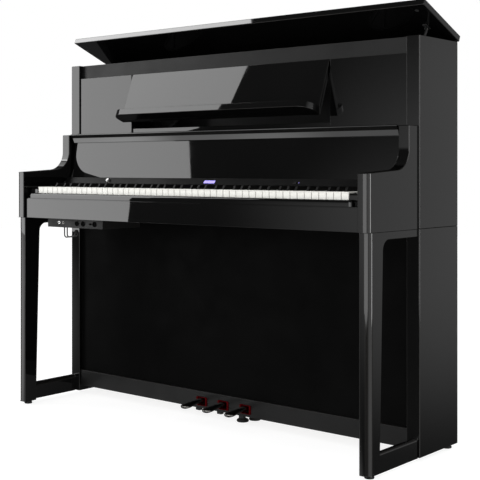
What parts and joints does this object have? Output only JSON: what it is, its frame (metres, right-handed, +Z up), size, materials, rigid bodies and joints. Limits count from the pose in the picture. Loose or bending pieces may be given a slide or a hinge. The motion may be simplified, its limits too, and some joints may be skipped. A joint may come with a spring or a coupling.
{
  "type": "upright piano",
  "caption": "Furniture-style digital upright piano with tall case, open top lid, tilted music rest, raised fallboard, keyboard, open leg frames and three pedals.",
  "frame": {"origin": "on the floor, under the middle of the whole outline with the lid and fallboard open", "axes": "+X to the player's right along the keyboard, +Y towards the back of the case, +Z up"},
  "size_m": [1.39, 0.4806, 1.2553],
  "materials": {
    "polished_ebony": "deep gloss black polyester lacquer on fibreboard",
    "satin_ebony": "satin black lacquer on fibreboard",
    "inner_board": "raw dark-stained board",
    "key_white": "ivory-feel satin key top",
    "key_black": "ebony-feel satin key top",
    "dark_chrome": "smoked chrome plate",
    "black_steel": "black powder coat",
    "black_plastic": "fine-textured moulded plastic",
    "rubber": "moulded rubber",
    "speaker_cone": "pressed paper cone and rubber surround",
    "circuit_board": "solder-masked board",
    "red_felt": "pressed wool felt",
    "display_glass": "small backlit display window",
    "brass": "hinge brass"
  },
  "bodies": {
    "case": {"upper_side_left": "polished_ebony", "upper_side_right": "polished_ebony", "lower_side_left": "polished_ebony", "lower_side_right": "polished_ebony", "upper_back_panel": "satin_ebony", "lower_back_panel": "satin_ebony", "power_inlet": "black_plastic", "toe_rail": "polished_ebony", "knee_panel": "satin_ebony", "bottom_board": "inner_board", "upper_front_panel": "polished_ebony", "top_rail": "satin_ebony", "arm_left": "polished_ebony", "arm_right": "polished_ebony", "leg_frame_left": "polished_ebony", "leg_frame_right": "polished_ebony", "leg_glide_left": "rubber", "leg_glide_right": "rubber", "rear_glide_left": "rubber", "rear_glide_right": "rubber", "keybed": "inner_board", "key_slip": "polished_ebony", "key_frame": "inner_board", "key_block_left": "polished_ebony", "key_block_right": "polished_ebony", "control_panel": "satin_ebony", "fallboard_stop_rail": "satin_ebony", "pedal_base": "black_steel", "adjuster_foot": "rubber", "jack_box": "black_plastic", "headphone_hook": "black_steel", "speaker_left": "speaker_cone", "speaker_right": "speaker_cone", "main_board": "circuit_board"},
    "lid": {"top_lid": "polished_ebony"},
    "lid_stay": {"lid_stay": "black_steel"},
    "fallboard": {"fallboard": "polished_ebony"},
    "music_rest": {"music_rest_board": "polished_ebony", "music_rest_ledge": "polished_ebony"},
    "pedal_left": {"pedal_left": "dark_chrome"},
    "pedal_middle": {"pedal_middle": "dark_chrome"},
    "pedal_right": {"pedal_right": "dark_chrome"},
    "volume_knob": {"volume_knob": "black_plastic"},
    "power_button": {"power_button": "black_plastic"},
    "naturals_low": {"naturals_low": "key_white"},
    "sharps_low": {"sharps_low": "key_black"},
    "key_C4": {"key_C4": "key_white"},
    "key_Cs4": {"key_Cs4": "key_black"},
    "key_D4": {"key_D4": "key_white"},
    "key_Ds4": {"key_Ds4": "key_black"},
    "key_E4": {"key_E4": "key_white"},
    "key_F4": {"key_F4": "key_white"},
    "key_Fs4": {"key_Fs4": "key_black"},
    "key_G4": {"key_G4": "key_white"},
    "key_Gs4": {"key_Gs4": "key_black"},
    "key_A4": {"key_A4": "key_white"},
    "key_As4": {"key_As4": "key_black"},
    "key_B4": {"key_B4": "key_white"},
    "naturals_high": {"naturals_high": "key_white"},
    "sharps_high": {"sharps_high": "key_black"}
  },
  "joints": [
    {"name": "fallboard_hinge", "type": "hinge", "parent": "case", "child": "fallboard", "pos_m": [0, -0.05534, 0.7405], "axis": [1, 0, 0], "range_deg": [0, 98]},
    {"name": "lid_hinge", "type": "hinge", "parent": "case", "child": "lid", "pos_m": [0, 0.23166, 1.1556], "axis": [1, 0, 0], "range_deg": [0, 22]},
    {"name": "lid_stay_fold", "type": "hinge", "parent": "lid", "child": "lid_stay", "pos_m": [0.646, 0.13634, 1.18661], "axis": [1, 0, 0], "range_deg": [-76.9, 0]},
    {"name": "music_rest_hinge", "type": "hinge", "parent": "case", "child": "music_rest", "pos_m": [0, 0.02366, 1.102], "axis": [1, 0, 0], "range_deg": [0, 20.5]},
    {"name": "pedal_left_press", "type": "hinge", "parent": "case", "child": "pedal_left", "pos_m": [-0.088, 0.15166, 0.058], "axis": [1, 0, 0], "range_deg": [0, 4.1], "stiffness_Nm_per_rad": 20, "springref_deg": -6.3},
    {"name": "pedal_middle_press", "type": "hinge", "parent": "case", "child": "pedal_middle", "pos_m": [0, 0.15166, 0.058], "axis": [1, 0, 0], "range_deg": [0, 4.1], "stiffness_Nm_per_rad": 20, "springref_deg": -6.3},
    {"name": "pedal_right_press", "type": "hinge", "parent": "case", "child": "pedal_right", "pos_m": [0.088, 0.15166, 0.058], "axis": [1, 0, 0], "range_deg": [0, 4.1], "stiffness_Nm_per_rad": 20, "springref_deg": -6.3},
    {"name": "power_button_press", "type": "slide", "parent": "case", "child": "power_button", "axis": [0, 0.7407, -0.6718], "range_m": [0, 0.001], "stiffness_N_per_m": 800, "springref_m": -0.001},
    {"name": "press_naturals_low", "type": "hinge", "parent": "case", "child": "naturals_low", "pos_m": [-0.341, 0.02766, 0.709], "axis": [1, 0, 0], "range_deg": [0, 2.4], "stiffness_Nm_per_rad": 50.6, "springref_deg": -8.59},
    {"name": "press_sharps_low", "type": "hinge", "parent": "case", "child": "sharps_low", "pos_m": [-0.3367, 0.02766, 0.709], "axis": [1, 0, 0], "range_deg": [0, 2.4], "stiffness_Nm_per_rad": 35.2, "springref_deg": -8.59},
    {"name": "press_key_C4", "type": "hinge", "parent": "case", "child": "key_C4", "pos_m": [-0.05875, 0.02766, 0.709], "axis": [1, 0, 0], "range_deg": [0, 2.4], "stiffness_Nm_per_rad": 2.2, "springref_deg": -8.59},
    {"name": "press_key_Cs4", "type": "hinge", "parent": "case", "child": "key_Cs4", "pos_m": [-0.05, 0.02766, 0.709], "axis": [1, 0, 0], "range_deg": [0, 2.4], "stiffness_Nm_per_rad": 2.2, "springref_deg": -8.59},
    {"name": "press_key_D4", "type": "hinge", "parent": "case", "child": "key_D4", "pos_m": [-0.03525, 0.02766, 0.709], "axis": [1, 0, 0], "range_deg": [0, 2.4], "stiffness_Nm_per_rad": 2.2, "springref_deg": -8.59},
    {"name": "press_key_Ds4", "type": "hinge", "parent": "case", "child": "key_Ds4", "pos_m": [-0.0205, 0.02766, 0.709], "axis": [1, 0, 0], "range_deg": [0, 2.4], "stiffness_Nm_per_rad": 2.2, "springref_deg": -8.59},
    {"name": "press_key_E4", "type": "hinge", "parent": "case", "child": "key_E4", "pos_m": [-0.01175, 0.02766, 0.709], "axis": [1, 0, 0], "range_deg": [0, 2.4], "stiffness_Nm_per_rad": 2.2, "springref_deg": -8.59},
    {"name": "press_key_F4", "type": "hinge", "parent": "case", "child": "key_F4", "pos_m": [0.01175, 0.02766, 0.709], "axis": [1, 0, 0], "range_deg": [0, 2.4], "stiffness_Nm_per_rad": 2.2, "springref_deg": -8.59},
    {"name": "press_key_Fs4", "type": "hinge", "parent": "case", "child": "key_Fs4", "pos_m": [0.0195, 0.02766, 0.709], "axis": [1, 0, 0], "range_deg": [0, 2.4], "stiffness_Nm_per_rad": 2.2, "springref_deg": -8.59},
    {"name": "press_key_G4", "type": "hinge", "parent": "case", "child": "key_G4", "pos_m": [0.03525, 0.02766, 0.709], "axis": [1, 0, 0], "range_deg": [0, 2.4], "stiffness_Nm_per_rad": 2.2, "springref_deg": -8.59},
    {"name": "press_key_Gs4", "type": "hinge", "parent": "case", "child": "key_Gs4", "pos_m": [0.047, 0.02766, 0.709], "axis": [1, 0, 0], "range_deg": [0, 2.4], "stiffness_Nm_per_rad": 2.2, "springref_deg": -8.59},
    {"name": "press_key_A4", "type": "hinge", "parent": "case", "child": "key_A4", "pos_m": [0.05875, 0.02766, 0.709], "axis": [1, 0, 0], "range_deg": [0, 2.4], "stiffness_Nm_per_rad": 2.2, "springref_deg": -8.59},
    {"name": "press_key_As4", "type": "hinge", "parent": "case", "child": "key_As4", "pos_m": [0.0745, 0.02766, 0.709], "axis": [1, 0, 0], "range_deg": [0, 2.4], "stiffness_Nm_per_rad": 2.2, "springref_deg": -8.59},
    {"name": "press_key_B4", "type": "hinge", "parent": "case", "child": "key_B4", "pos_m": [0.08225, 0.02766, 0.709], "axis": [1, 0, 0], "range_deg": [0, 2.4], "stiffness_Nm_per_rad": 2.2, "springref_deg": -8.59},
    {"name": "press_naturals_high", "type": "hinge", "parent": "case", "child": "naturals_high", "pos_m": [0.3525, 0.02766, 0.709], "axis": [1, 0, 0], "range_deg": [0, 2.4], "stiffness_Nm_per_rad": 48.4, "springref_deg": -8.59},
    {"name": "press_sharps_high", "type": "hinge", "parent": "case", "child": "sharps_high", "pos_m": [0.3412, 0.02766, 0.709], "axis": [1, 0, 0], "range_deg": [0, 2.4], "stiffness_Nm_per_rad": 33, "springref_deg": -8.59},
    {"name": "volume_knob_turn", "type": "hinge", "parent": "case", "child": "volume_knob", "pos_m": [-0.433, -0.05959, 0.75175], "axis": [0, -0.7407, 0.6718], "range_deg": [-140, 140]}
  ],
  "couplings": [
    {"joint": "lid_stay_fold", "follows": "lid_hinge", "ratio": -3.4909}
  ]
}
